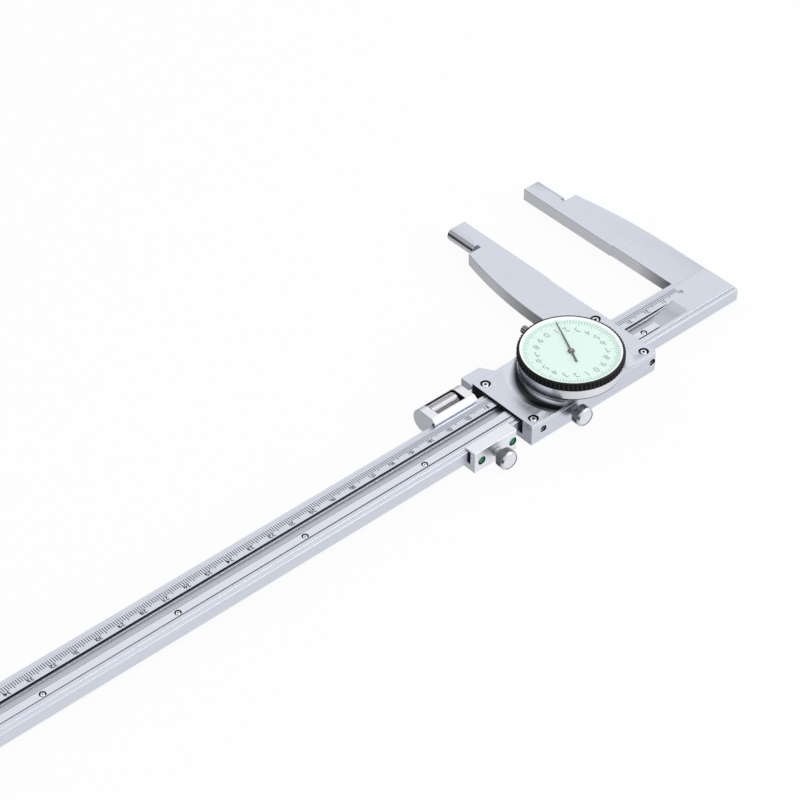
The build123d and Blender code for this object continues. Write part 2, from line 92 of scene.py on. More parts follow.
class CaliperSizes(bpy.types.PropertyGroup):
    """Sizes and colours of the caliper's finishes."""

    eased_edge: bpy.props.FloatProperty(
        name="Eased edge",
        description="Width of the small bevel along the ground edges",
        default=0.2 * MM,
        min=0.0,
        subtype="DISTANCE",
        unit="LENGTH",
    )
    bezel_ribs: bpy.props.IntProperty(
        name="Bezel ribs",
        description="Number of ribs round the bezel",
        default=76,
        min=8,
    )
    thumb_ribs: bpy.props.IntProperty(
        name="Thumb screw ribs",
        description="Number of knurl ribs round a thumb screw's head",
        default=42,
        min=8,
    )
    dial_marks: bpy.props.IntProperty(
        name="Dial marks",
        description="Number of marks round the dial",
        default=100,
        min=10,
    )
    numeral_height: bpy.props.FloatProperty(
        name="Dial numeral height",
        description="Height of the dial's numerals",
        default=2.9 * MM,
        min=0.0,
        subtype="DISTANCE",
        unit="LENGTH",
    )
    scale_numeral_height: bpy.props.FloatProperty(
        name="Scale numeral height",
        description="Height of the numerals on the beam",
        default=1.9 * MM,
        min=0.0,
        subtype="DISTANCE",
        unit="LENGTH",
    )
    rack_pitch: bpy.props.FloatProperty(
        name="Rack pitch",
        description="Pitch of the rack's fine teeth",
        default=0.625 * MM,
        min=0.1 * MM,
        subtype="DISTANCE",
        unit="LENGTH",
    )
    steel_colour: bpy.props.FloatVectorProperty(
        name="Steel",
        description="Colour of the satin steel",
        default=(0.68, 0.71, 0.78, 1.0),
        size=4,
        min=0.0,
        max=1.0,
        subtype="COLOR",
    )
    chrome_colour: bpy.props.FloatVectorProperty(
        name="Chrome",
        description="Colour of the carriage's satin chrome",
        default=(0.88, 0.89, 0.94, 1.0),
        size=4,
        min=0.0,
        max=1.0,
        subtype="COLOR",
    )
    dial_colour: bpy.props.FloatVectorProperty(
        name="Dial",
        description="Colour of the dial's enamel",
        default=(0.78, 0.96, 0.87, 1.0),
        size=4,
        min=0.0,
        max=1.0,
        subtype="COLOR",
    )


def sizes():
    """The sizes and colours in use."""
    return bpy.context.scene.caliper_sizes


def node_in(tree, kind, wires=None, values=None, **settings):
    """New node with its settings, its values and the sockets that feed it."""
    made = tree.nodes.new(kind)
    for setting, value in settings.items():
        setattr(made, setting, value)
    for label, value in (values or {}).items():
        made.inputs[label].default_value = value
    for label, source in (wires or {}).items():
        tree.links.new(source, made.inputs[label])
    return made


def ramp_in(tree, source, stops):
    """Colour of a ramp that a socket feeds; stops are (position, colour)."""
    ramp = node_in(tree, "ShaderNodeValToRGB", {"Fac": source})
    elements = ramp.color_ramp.elements
    while len(elements) < len(stops):
        elements.new(1.0)
    for element, (position, colour) in zip(elements, stops):
        element.position = position
        element.color = colour
    return ramp.outputs["Color"]


def tinted(colour, share):
    """A colour made lighter or darker by a share."""
    return (colour[0] * share, colour[1] * share, colour[2] * share, 1.0)


def shades(colour, dark, light):
    """A colour between its darker and its lighter form, by shares."""
    return tinted(colour, dark), colour, tinted(colour, light)


def stepped(red, green, blue, step):
    """A colour between its darker and its lighter form, by a step."""
    return [(red + move, green + move, blue + move, 1.0) for move in (-step, 0.0, step)]


def plain_finish(name, colour, metallic, roughness):
    """Material with one shader, and that shader."""
    material = bpy.data.materials.new(name)
    material.use_nodes = True
    shader = material.node_tree.nodes["Principled BSDF"]
    shader.inputs["Base Color"].default_value = colour
    shader.inputs["Metallic"].default_value = metallic
    shader.inputs["Roughness"].default_value = roughness
    return material, shader


def grained(name, shade, stretch, roughness, depth, metallic=0.0, more=None):
    """Material with streaks; stretch is their number per metre by axis, depth is in millimetres."""
    dark, colour, light = shade
    material, shader = plain_finish(name, colour, metallic, roughness[1])
    for label, value in (more or {}).items():
        shader.inputs[label].default_value = value
    tree = material.node_tree
    place = node_in(tree, "ShaderNodeTexCoord").outputs["Object"]
    mapping = node_in(tree, "ShaderNodeMapping", {"Vector": place}, {"Scale": stretch})
    wires = {"Vector": mapping.outputs["Vector"]}
    noise = node_in(tree, "ShaderNodeTexNoise", wires, {"Scale": 1.0, "Detail": 3.0}).outputs["Fac"]
    low = 0.3
    high = 0.7
    colours = ramp_in(tree, noise, ((low, dark), (high, light)))
    limits = {"From Min": low, "From Max": high, "To Min": roughness[0], "To Max": roughness[1]}
    spread = node_in(tree, "ShaderNodeMapRange", {"Value": noise}, limits)
    bump = node_in(tree, "ShaderNodeBump", {"Height": noise}, {"Strength": 0.35, "Distance": depth * MM})
    tree.links.new(colours, shader.inputs["Base Color"])
    tree.links.new(spread.outputs["Result"], shader.inputs["Roughness"])
    tree.links.new(bump.outputs["Normal"], shader.inputs["Normal"])
    return material


def graded_metal(name, tint, roughness, stops, axis=None, centre=None):
    """Metal whose colour changes along an axis or away from a centre; stops are (millimetres, share)."""
    material, shader = plain_finish(name, tint, 1.0, roughness)
    tree = material.node_tree
    place = node_in(tree, "ShaderNodeTexCoord").outputs["Object"]
    if axis:
        along = node_in(tree, "ShaderNodeSeparateXYZ", {"Vector": place}).outputs[axis]
    else:
        flat = node_in(tree, "ShaderNodeVectorMath", {0: place}, {1: (1, 1, 0)}, operation="MULTIPLY")
        wires = {0: flat.outputs["Vector"]}
        away = node_in(tree, "ShaderNodeVectorMath", wires, {1: centre}, operation="DISTANCE")
        along = away.outputs["Value"]
    low = stops[0][0]
    high = stops[-1][0]
    limits = {"From Min": low * MM, "From Max": high * MM}
    span = node_in(tree, "ShaderNodeMapRange", {"Value": along}, limits)
    placed_stops = [((at - low) / (high - low), tinted(tint, share)) for at, share in stops]
    colours = ramp_in(tree, span.outputs["Result"], placed_stops)
    tree.links.new(colours, shader.inputs["Base Color"])
    return material


def metal(name, shade, stretch, roughness, depth):
    """Metal with streaks."""
    return grained(name, shade, stretch, roughness, depth, 1.0)


def shaded_cove(name):
    """Hollow curve at the dial's seat, with the soft shade that the case casts on one side of it."""
    # Painted shadow of the case: near black in a ring round a centre set off the dial's axis
    stops = ((15, 1.0), (17, 0.05), (19, 0.05), (22, 1.0))
    centre = (DIAL_CENTRE.x + 5.7 * MM, DIAL_CENTRE.y + 2.2 * MM, 0)
    return graded_metal(name, (0.7, 0.73, 0.8, 1.0), 0.2, stops, centre=centre)


def jaw_wall(name, stops):
    """Side of a jaw with painted shade, darker towards the beam."""
    return graded_metal(name, (0.95, 0.96, 1.0, 1.0), 0.34, stops, "Y")


def black_plastic(name):
    """Semi-matt black of the bezel."""
    more = {"Specular IOR Level": 0.28}
    return grained(name, stepped(0.006, 0.006, 0.0065, 0.002), [900] * 3, (0.35, 0.45), 0.002, more=more)


def enamel(name, colour, more=None):
    """Matt enamel with a faint mottle."""
    return grained(name, shades(colour, 0.985, 1.0), [1200] * 3, (0.45, 0.55), 0.002, more=more)


def white_paint(name):
    """White enamel with a faint painted glow, so that it stays bright in the shade of the bezel."""
    # Painted glow: a faint white emission
    more = {"Emission Color": (1.0, 1.0, 1.0, 1.0), "Emission Strength": 0.12}
    return enamel(name, (0.97, 0.98, 0.98, 1.0), more)


def print_ink(name, colour):
    """Ink or paint of the marks and the numerals, and the near-black painted shade of recesses and gaps."""
    more = {"Specular IOR Level": 0.1}
    return grained(name, shades(colour, 0.85, 1.1), [4000] * 3, (0.5, 0.7), 0.001, more=more)


def lacquer(name, colour):
    """Glossy coloured lacquer."""
    return grained(name, shades(colour, 0.8, 1.15), [2000] * 3, (0.2, 0.35), 0.004, more={"Coat Weight": 0.5})


def clear_crystal(name):
    """Clear crystal over the dial."""
    material, shader = plain_finish(name, (0.97, 1.0, 0.99, 1.0), 0.0, 0.03)
    shader.inputs["Alpha"].default_value = 0.08
    shader.inputs["IOR"].default_value = 1.49
    material.surface_render_method = "BLENDED"
    return material


finishes = {}


def finish(name):
    """A finish by its short name, made once; each row has its maker and what the maker is given."""
    steel = sizes().steel_colour
    floor = tinted(steel, 0.8)
    chrome = sizes().chrome_colour
    brass = ((0.66, 0.47, 0.2, 1.0), (0.72, 0.52, 0.24, 1.0), (0.78, 0.58, 0.28, 1.0))
    turned = stepped(0.8, 0.81, 0.84, 0.04)
    polish = stepped(0.84, 0.85, 0.89, 0.02)
    # Painted shade on the groove's wall: black under its upper edge and lighter towards the floor
    groove = ((4.0, 1.0), (5.1, 0.02), (6.0, 0.02))
    rows = {
        # Metals have their shades, streaks per metre by axis, roughness and depth in millimetres
        "steel": (metal, "brushed_steel", shades(steel, 0.95, 1.04), (30, 3200, 3200), (0.26, 0.34), 0.01),
        # Darker milled steel of the groove's floor; it also paints shade on the slider's end face
        "milled": (metal, "milled_steel", shades(floor, 0.96, 1.04), (60, 2600, 2600), (0.3, 0.4), 0.008),
        "rack": (metal, "rack_steel", stepped(0.76, 0.78, 0.84, 0.03), (40, 2500, 2500), (0.3, 0.38), 0.004),
        "satin": (metal, "satin_chrome", shades(chrome, 0.98, 1.02), [2600] * 3, (0.38, 0.48), 0.006),
        "turned": (metal, "turned_chrome", turned, (40, 40, 5200), (0.17, 0.24), 0.002),
        "knurl": (metal, "knurled_chrome", stepped(0.4, 0.41, 0.43, 0.04), [300] * 3, (0.38, 0.46), 0.001),
        "polish": (metal, "polished_chrome", polish, [200] * 3, (0.17, 0.23), 0.0005),
        "brass": (metal, "satin_brass", brass, [900] * 3, (0.25, 0.38), 0.006),
        "groove": (graded_metal, "groove_wall", (0.62, 0.63, 0.67, 1.0), 0.4, groove, "Z"),
        "cove": (shaded_cove, "seat_cove_steel"),
        "fixed_wall_shade": (jaw_wall, "fixed_jaw_wall", ((-30, 1.0), (-10, 0.15))),
        "sliding_wall_shade": (jaw_wall, "sliding_jaw_wall", ((-60, 0.9), (-30, 0.3))),
        "black": (black_plastic, "black_bezel_finish"),
        "mint": (enamel, "mint_enamel", sizes().dial_colour),
        "white": (white_paint, "white_enamel"),
        "green_ink": (print_ink, "green_mark_ink", (0.4, 0.62, 0.49, 1.0)),
        "grey_ink": (print_ink, "grey_numeral_ink", (0.15, 0.17, 0.16, 1.0)),
        "dark_ink": (print_ink, "dark_scale_ink", (0.03, 0.03, 0.035, 1.0)),
        "needle": (print_ink, "needle_paint", (0.012, 0.012, 0.015, 1.0)),
        # Near-black painted shade for recesses, gaps, rib cores and dark slots
        "recess": (print_ink, "dark_recess", (0.006, 0.006, 0.007, 1.0)),
        # Near-black painted shade of the groove inside a thumb screw's rim
        "blued": (lacquer, "blued_steel", (0.02, 0.02, 0.024, 1.0)),
        "lacquer": (lacquer, "green_lacquer", (0.04, 0.42, 0.2, 1.0)),
        # Darkened copy of the green lacquer: painted shade on the slider's deeper set screws
        "shaded_lacquer": (lacquer, "dark_green_lacquer", (0.01, 0.05, 0.03, 1.0)),
        "crystal": (clear_crystal, "clear_crystal_glass"),
    }
    if name not in finishes:
        maker, *given = rows[name]
        finishes[name] = maker(*given)
    return finishes[name]


def in_mm(*pairs):
    """Pairs of millimetres as pairs of metres."""
    return [(first * MM, second * MM) for first, second in pairs]


def linked(name, mesh):
    """New object with a mesh, in the scene."""
    piece = bpy.data.objects.new(name, mesh)
    bpy.context.scene.collection.objects.link(piece)
    return piece


def settled(piece):
    """Replaces a piece's mesh by its evaluated one and removes its modifiers."""
    bpy.context.view_layer.update()
    graph = bpy.context.evaluated_depsgraph_get()
    mesh = bpy.data.meshes.new_from_object(piece.evaluated_get(graph))
    mesh.name = piece.name
    piece.modifiers.clear()
    piece.data = mesh
    return piece


def shaded(piece, angle=32.0):
    """Smooth shading with creases sharper than an angle kept."""
    mesh = piece.data
    mesh.polygons.foreach_set("use_smooth", [True] * len(mesh.polygons))
    mesh.set_sharp_from_angle(angle=math.radians(angle))
    return piece


def placed(piece, body, nodes=()):
    """Gives a piece its body and the CAD nodes that it stands for."""
    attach(piece, body)
    if nodes:
        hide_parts(*nodes)


def dressed(piece, look, body, nodes=()):
    """Gives a piece its finish, its body and the CAD nodes that it stands for."""
    piece.data.materials.clear()
    piece.data.materials.append(finish(look))
    placed(piece, body, nodes)
    return piece


def node_look(look, *nodes):
    """Gives CAD nodes that are shown as they are a finish."""
    for node in nodes:
        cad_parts[node].data.materials[0] = finish(look)


def painted(piece, look, chosen):
    """Gives one more finish to the faces that a test of their middle and normal chooses."""
    piece.data.materials.append(finish(look))
    number = len(piece.data.materials) - 1
    for polygon in piece.data.polygons:
        if chosen(polygon.center, polygon.normal):
            polygon.material_index = number


def blackened(piece, place, radius):
    """Paints shade on the turned wall of a knurl between its ribs, so that the ribs set on it stand out."""
    back = place.inverted()
    turn = back.to_3x3()
    near = 0.04 * MM

    def on_wall(at, out):
        return abs((back @ at).xy.length - radius) < near and (turn @ out).xy.length > 0.98

    painted(piece, "recess", on_wall)


def worked(mesh, change):
    """Changes a mesh with bmesh calls and turns its faces outwards."""
    work = bmesh.new()
    work.from_mesh(mesh)
    change(work)
    bmesh.ops.recalc_face_normals(work, faces=work.faces)
    work.to_mesh(mesh)
    work.free()
    mesh.update()
    return mesh


def cut_flush(mesh, half):
    """Cuts a mesh flush at a distance on both sides of the beam's line and closes the cuts."""

    def change(work):
        for side in (-1, 1):
            whole = work.verts[:] + work.edges[:] + work.faces[:]
            plane = {"plane_co": (0, side * half, 0), "plane_no": (0, side, 0)}
            cut = bmesh.ops.bisect_plane(work, geom=whole, dist=1e-7, clear_outer=True, **plane)
            rim = [part for part in cut["geom_cut"] if isinstance(part, bmesh.types.BMEdge)]
            bmesh.ops.holes_fill(work, edges=rim, sides=0)

    return worked(mesh, change)


def mesh_of(name, points, faces):
    """Mesh from points in metres and faces."""
    mesh = bpy.data.meshes.new(name)
    mesh.from_pydata([tuple(point) for point in points], [], faces)
    mesh.update()
    return mesh


def tidied(mesh):
    """Merges a mesh's doubles and turns its faces outwards."""
    return worked(mesh, lambda work: bmesh.ops.remove_doubles(work, verts=work.verts, dist=1e-7))


def joined(name, meshes):
    """One mesh from several."""
    work = bmesh.new()
    for mesh in meshes:
        work.from_mesh(mesh)
    made = bpy.data.meshes.new(name)
    work.to_mesh(made)
    work.free()
    return made


def turned_profile(name, profile, segments, place):
    """Closed mesh of a profile of (radius, height) pairs turned about Z, then put in its place."""
    points = []
    faces = []
    rings = []
    for radius, height in profile:
        ring = []
        if radius == 0:
            ring.append(len(points))
            points.append(Vector((0, 0, height)))
        else:
            for number in range(segments):
                angle = 2 * math.pi * number / segments
                ring.append(len(points))
                points.append(Vector((radius * math.cos(angle), radius * math.sin(angle), height)))
        rings.append(ring)
    for low, high in zip(rings, rings[1:]):
        for number in range(segments):
            after = (number + 1) % segments
            face = [low[number % len(low)], low[after % len(low)]]
            face += [high[after % len(high)], high[number % len(high)]]
            corners = list(dict.fromkeys(face))
            if len(corners) > 2:
                faces.append(corners)
    mesh = mesh_of(name, [place @ point for point in points], faces)
    return tidied(mesh)


def turned_piece(name, profile, segments, place, look, body, angle=32.0):
    """Turned piece with its shading, its finish and its body."""
    piece = shaded(linked(name, turned_profile(name, profile, segments, place)), angle)
    return dressed(piece, look, body)


def prism(name, corners, low, high, place=None):
    """Closed mesh of an outline of (x, y) corners between two heights."""
    count = len(corners)
    points = [Vector((x, y, low)) for x, y in corners] + [Vector((x, y, high)) for x, y in corners]
    faces = [list(reversed(range(count))), list(range(count, 2 * count))]
    for number in range(count):
        after = (number + 1) % count
        faces.append([number, after, count + after, count + number])
    if place:
        points = [place @ point for point in points]
    return tidied(mesh_of(name, points, faces))


def facing(place, direction):
    """Place whose own Z points in a direction."""
    turn = Vector(UP).rotation_difference(Vector(direction)).to_matrix().to_4x4()
    return Matrix.Translation(place) @ turn


def on_dial_axis():
    """Place on the dial's axis, at the beam's underside."""
    return Matrix.Translation((DIAL_CENTRE.x, DIAL_CENTRE.y, 0))


def drilled(piece, holes):
    """Sinks blind round holes into a piece; each is (mouth, outward direction, radius, depth)."""
    cutters = []
    for mouth, outward, radius, depth in holes:
        profile = [(0, -depth), (radius, -depth), (radius, 1.0 * MM), (0, 1.0 * MM)]
        cutters.append(turned_profile("cutter", profile, 40, facing(mouth, outward)))
    cutter = linked("cutter", joined("cutter", cutters))
    cut = piece.modifiers.new("Holes", "BOOLEAN")
    cut.operation = "DIFFERENCE"
    cut.solver = "EXACT"
    cut.object = cutter
    settled(piece)
    bpy.data.objects.remove(cutter)
    return piece


def eased_copy(node, name, look, body, holes=(), width=None):
    """Dressed copy of a CAD node, its holes sunk and its edges eased, so that they catch the light."""
    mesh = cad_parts[node].data.copy()
    mesh.name = name
    mesh.materials.clear()
    work = bmesh.new()
    work.from_mesh(mesh)
    bmesh.ops.remove_doubles(work, verts=work.verts, dist=1e-6)
    limit = {"angle_limit": math.radians(0.8), "use_dissolve_boundaries": False}
    bmesh.ops.dissolve_limit(work, verts=work.verts, edges=work.edges, **limit)
    work.to_mesh(mesh)
    work.free()
    piece = linked(name, mesh)
    if holes:
        drilled(piece, holes)
    crease = 38.0
    shaded(piece, crease)
    bevel = piece.modifiers.new("Eased edges", "BEVEL")
    bevel.width = sizes().eased_edge if width is None else width
    bevel.segments = 2
    bevel.limit_method = "ANGLE"
    bevel.angle_limit = math.radians(crease)
    bevel.use_clamp_overlap = False
    bevel.harden_normals = True
    return dressed(settled(piece), look, body, [node])


def new_tree(name, inputs):
    """Geometry node tree with a geometry in and out and its named inputs, by kind."""
    tree = bpy.data.node_groups.new(name, "GeometryNodeTree")
    tree.interface.new_socket("Geometry", in_out="INPUT", socket_type="NodeSocketGeometry")
    for label, kind in inputs.items():
        tree.interface.new_socket(label, in_out="INPUT", socket_type="NodeSocket" + kind)
    tree.interface.new_socket("Material", in_out="INPUT", socket_type="NodeSocketMaterial")
    tree.interface.new_socket("Geometry", in_out="OUTPUT", socket_type="NodeSocketGeometry")
    given = tree.nodes.new("NodeGroupInput")
    result = tree.nodes.new("NodeGroupOutput")
    return tree, given.outputs, result


def closing_nodes(tree, get, result, parts):
    """Joins the parts, realizes them and sets their material."""
    join = tree.nodes.new("GeometryNodeJoinGeometry")
    for part in parts:
        tree.links.new(part, join.inputs["Geometry"])
    real = node_in(tree, "GeometryNodeRealizeInstances", {"Geometry": join.outputs["Geometry"]})
    wires = {"Geometry": real.outputs["Geometry"], "Material": get["Material"]}
    paint = node_in(tree, "GeometryNodeSetMaterial", wires)
    tree.links.new(paint.outputs["Geometry"], result.inputs["Geometry"])
    return tree


def copies_in(tree, points, instance, **more):
    """Copies of a geometry on points; more gives sockets for Rotation and Scale."""
    wires = {"Points": points, "Instance": instance, **more}
    return node_in(tree, "GeometryNodeInstanceOnPoints", wires).outputs["Instances"]


def line_in(tree, get):
    """Points at even steps along a line."""
    wires = {"Count": get["Count"], "Start Location": get["Start"], "Offset": get["Pitch"]}
    return node_in(tree, "GeometryNodeMeshLine", wires).outputs["Mesh"]


def moved_in(tree, geometry, wires=None, **values):
    """Geometry moved or turned by sockets or by values."""
    wires = {"Geometry": geometry, **(wires or {})}
    return node_in(tree, "GeometryNodeTransform", wires, values).outputs["Geometry"]


def grown(piece, tree, values):
    """Runs a node tree on a piece with its named inputs and keeps the plain mesh."""
    modifier = piece.modifiers.new(tree.name, "NODES")
    modifier.node_group = tree
    for item in tree.interface.items_tree:
        if item.item_type == "SOCKET" and item.in_out == "INPUT" and item.name in values:
            modifier[item.identifier] = values[item.name]
    return settled(piece)


def turn_per_point(tree, count):
    """Rotation about Z of each point of a circle with that many points."""
    index = node_in(tree, "GeometryNodeInputIndex")
    turn = {1: 2 * math.pi}
    whole = node_in(tree, "ShaderNodeMath", {0: index.outputs["Index"]}, turn, operation="MULTIPLY")
    part =node_in(tree, "ShaderNodeMath", {0: whole.outputs[0], 1: count}, operation="DIVIDE")
    return node_in(tree, "ShaderNodeCombineXYZ", {"Z": part.outputs[0]}).outputs["Vector"]


def ribbed_rim_tree():
    """Ribs set round a turned core."""
    inputs = {"Count": "Int", "Rim Radius": "Float", "Rib Radius": "Float", "Rib Length": "Float"}
    inputs.update({"Centre": "Vector", "Tilt": "Rotation"})
    tree, get, result = new_tree("Ribbed rim", inputs)
    circle = node_in(tree, "GeometryNodeMeshCircle", {"Vertices": get["Count"], "Radius": get["Rim Radius"]})
    wires = {"Radius": get["Rib Radius"], "Depth": get["Rib Length"]}
    rib = node_in(tree, "GeometryNodeMeshCylinder", wires, {"Vertices": 6})
    turn = turn_per_point(tree, get["Count"])
    ribs = copies_in(tree, circle.outputs["Mesh"], rib.outputs["Mesh"], Rotation=turn)
    moved = moved_in(tree, ribs, {"Translation": get["Centre"], "Rotation": get["Tilt"]})
    return closing_nodes(tree, get, result, [get["Geometry"], moved])


def ribbed(piece, count, rim, rib, length, centre, place, look):
    """Sets ribs round a turned core; place gives their direction."""
    values = {
        "Count": count,
        "Rim Radius": rim,
        "Rib Radius": rib,
        "Rib Length": length,
        "Centre": tuple(centre),
        "Tilt": place.to_euler(),
        "Material": finish(look),
    }
    return grown(piece, ribbed_rim_tree(), values)


def knurled(name, profile, segments, place, bands, look, body, node):
    """Turned piece with bands of ribs, each (count, radius, rib radius, length, height) in millimetres."""
    piece = linked(name, turned_profile(name, profile, segments, place))
    for count, radius, rib, length, height in bands:
        centre = place @ Vector((0, 0, height * MM))
        ribbed(piece, count, radius * MM, rib * MM, length * MM, centre, place, look)
    shaded(piece)
    placed(piece, body, [node])
    # Painted shade on the cores between the ribs
    for band in bands:
        blackened(piece, place, band[1] * MM)


def mark_lengths(tree, get, steps):
    """Length of each mark by its number: the last step that divides it wins."""
    index = node_in(tree, "GeometryNodeInputIndex")
    length = get[steps[0][1]]
    for step, label in steps[1:]:
        rest = node_in(tree, "ShaderNodeMath", {0: index.outputs["Index"]}, {1: step}, operation="MODULO")
        whole = node_in(tree, "ShaderNodeMath", {0: rest.outputs[0]}, {1: 0.5}, operation="LESS_THAN")
        wires = {"Switch": whole.outputs[0], "False": length, "True": get[label]}
        length = node_in(tree, "GeometryNodeSwitch", wires, input_type="FLOAT").outputs["Output"]
    return length


def scale_tree():
    """Long, middle and short marks along a straight scale."""
    inputs = {"Count": "Int", "Start": "Vector", "Pitch": "Vector", "Short": "Float", "Middle": "Float"}
    inputs.update({"Long": "Float", "Width": "Float", "Depth": "Float"})
    tree, get, result = new_tree("Straight scale", inputs)
    line = line_in(tree, get)
    cube = node_in(tree, "GeometryNodeMeshCube").outputs["Mesh"]
    mark = moved_in(tree, cube, Translation=(0, 0.5, 0))
    length = mark_lengths(tree, get, [(1, "Short"), (5, "Middle"), (10, "Long")])
    size = node_in(tree, "ShaderNodeCombineXYZ", {"X": get["Width"], "Y": length, "Z": get["Depth"]})
    marks = copies_in(tree, line, mark, Scale=size.outputs["Vector"])
    return closing_nodes(tree, get, result, [get["Geometry"], marks])


def dial_marks_tree():
    """Marks round a dial, longer at each fifth."""
    inputs = {"Count": "Int", "Outer Radius": "Float", "Centre": "Vector", "Short": "Float"}
    inputs.update({"Middle": "Float", "Width": "Float", "Depth": "Float"})
    tree, get, result = new_tree("Dial marks", inputs)
    wires = {"Vertices": get["Count"], "Radius": get["Outer Radius"]}
    circle = node_in(tree, "GeometryNodeMeshCircle", wires).outputs["Mesh"]
    cube = node_in(tree, "GeometryNodeMeshCube").outputs["Mesh"]
    mark = moved_in(tree, cube, Translation=(-0.5, 0, 0))
    length = mark_lengths(tree, get, [(1, "Short"), (5, "Middle")])
    size = node_in(tree, "ShaderNodeCombineXYZ", {"X": length, "Y": get["Width"], "Z": get["Depth"]})
    turn = turn_per_point(tree, get["Count"])
    marks = copies_in(tree, circle, mark, Rotation=turn, Scale=size.outputs["Vector"])
    moved = moved_in(tree, marks, {"Translation": get["Centre"]})
    return closing_nodes(tree, get, result, [get["Geometry"], moved])


def rack_tree():
    """Fine pointed teeth along the front of the rack."""
    inputs = {"Count": "Int", "Start": "Vector", "Pitch": "Vector", "Tooth Radius": "Float"}
    inputs["Height"] = "Float"
    tree, get, result = new_tree("Rack teeth", inputs)
    line = line_in(tree, get)
    wires = {"Radius": get["Tooth Radius"], "Depth": get["Height"]}
    tooth = node_in(tree, "GeometryNodeMeshCylinder", wires, {"Vertices": 3}).outputs["Mesh"]
    pointed = moved_in(tree, tooth, Rotation=Euler((0, 0, -math.pi / 2)))
    teeth = copies_in(tree, line, pointed)
    return closing_nodes(tree, get, result, [get["Geometry"], teeth])


def row_tree():
    """Copies of a small piece at even steps along a line."""
    tree, get, result = new_tree("Even row", {"Count": "Int", "Pitch": "Vector"})
    line = node_in(tree, "GeometryNodeMeshLine", {"Count": get["Count"], "Offset": get["Pitch"]})
    return closing_nodes(tree, get, result, [copies_in(tree, line.outputs["Mesh"], get["Geometry"])])


def grid_tree():
    """Copies of a small piece at the corners of a rectangle."""
    tree, get, result = new_tree("Four corners", {"Length": "Float", "Width": "Float"})
    wires = {"Size X": get["Length"], "Size Y": get["Width"]}
    grid = node_in(tree, "GeometryNodeMeshGrid", wires, {"Vertices X": 2, "Vertices Y": 2})
    return closing_nodes(tree, get, result, [copies_in(tree, grid.outputs["Mesh"], get["Geometry"])])


def digit_shapes(height, thinner):
    """Flat meshes of the ten digits, centred, with their widths."""
    shapes = {}
    for digit in "0123456789":
        text = bpy.data.curves.new("digit", "FONT")
        text.body = digit
        text.size = 1.0
        text.align_x = "CENTER"
        text.offset = -thinner
        text.resolution_u = 4
        shape = linked("digit", text)
        bpy.context.view_layer.update()
        graph = bpy.context.evaluated_depsgraph_get()
        mesh = bpy.data.meshes.new_from_object(shape.evaluated_get(graph))
        bpy.data.objects.remove(shape)
        corners = [vertex.co for vertex in mesh.vertices]
        low = min(corner.y for corner in corners)
        high = max(corner.y for corner in corners)
        left = min(corner.x for corner in corners)
        right = max(corner.x for corner in corners)
        size = height / (high - low)
        shift = Matrix.Translation((-(left + right) / 2, -(low + high) / 2, 0))
        mesh.transform(Matrix.Scale(size, 4) @ shift)
        shapes[digit] = (mesh, (right - left) * size)
    return shapes


def numerals(name, labels, height, thinner, spacing):
    """One mesh of the labels, each a word of digits and the place of its middle."""
    shapes = digit_shapes(height, thinner)
    work = bmesh.new()
    for word, place in labels:
        widths = [shapes[digit][1] for digit in word]
        reach = sum(widths) + spacing * (len(word) - 1)
        start = -reach / 2
        for digit, width in zip(word, widths):
            mesh = shapes[digit][0].copy()
            mesh.transform(Matrix.Translation(Vector(place) + Vector((start + width / 2, 0, 0))))
            work.from_mesh(mesh)
            start += width + spacing
    made = bpy.data.meshes.new(name)
    work.to_mesh(made)
    work.free()
    for polygon in made.polygons:
        if polygon.normal.z < 0:
            polygon.flip()
    made.materials.clear()
    return linked(name, made)


def screw_head(name, radius, low, high, recess):
    """Meshes of a round screw head about Z and of the dark cross set in it, a painted shade of the cross
    recess.
    """
    edge = 0.18 * radius
    profile = [(0, low), (radius, low), (radius, high - edge), (radius - edge, high), (0, high)]
    head = turned_profile(name, profile, 32, Matrix())
    long = recess
    short = recess * 0.6
    corners = [(-short, -long), (short, -long), (short, -short)]
    corners += [(long, -short), (long, short), (short, short)]
    corners += [(-x, -y) for x, y in corners]
    # Painted shade: a near-black cross stands in for the recess in the head
    cross = prism(name + "_cross", corners, high - edge, high + 0.01 * MM)
    return head, cross


def well_liner(name, radius, depth):
    """Thin dark cup of painted shade that lines a round well about Z, its mouth at height 0."""
    wall = 0.04 * MM
    lip = -0.06 * MM
    profile = [(0, -depth), (radius, -depth), (radius, lip)]
    profile += [(radius - wall, lip), (radius - wall, wall - depth), (0, wall - depth)]
    return turned_profile(name, profile, 40, Matrix())


def screw_set(name, body, place, head, recesses, tree, values):
    """Bright heads of screws and the painted shade of their recesses, copied by a node tree and put in their
    place.
    """
    for kind, meshes, look, slot in (
        ("_heads", [head], "polish", "knurled_chrome"),
        ("_recess_shade", recesses, "recess", "dark_pointer"),
    ):
        piece = linked(name + kind, joined(name + kind, meshes))
        grown(piece, tree, {**values, "Material": finish(look)})
        piece.data.transform(Matrix.Translation(place))
        shaded(piece)
        placed(piece, body)


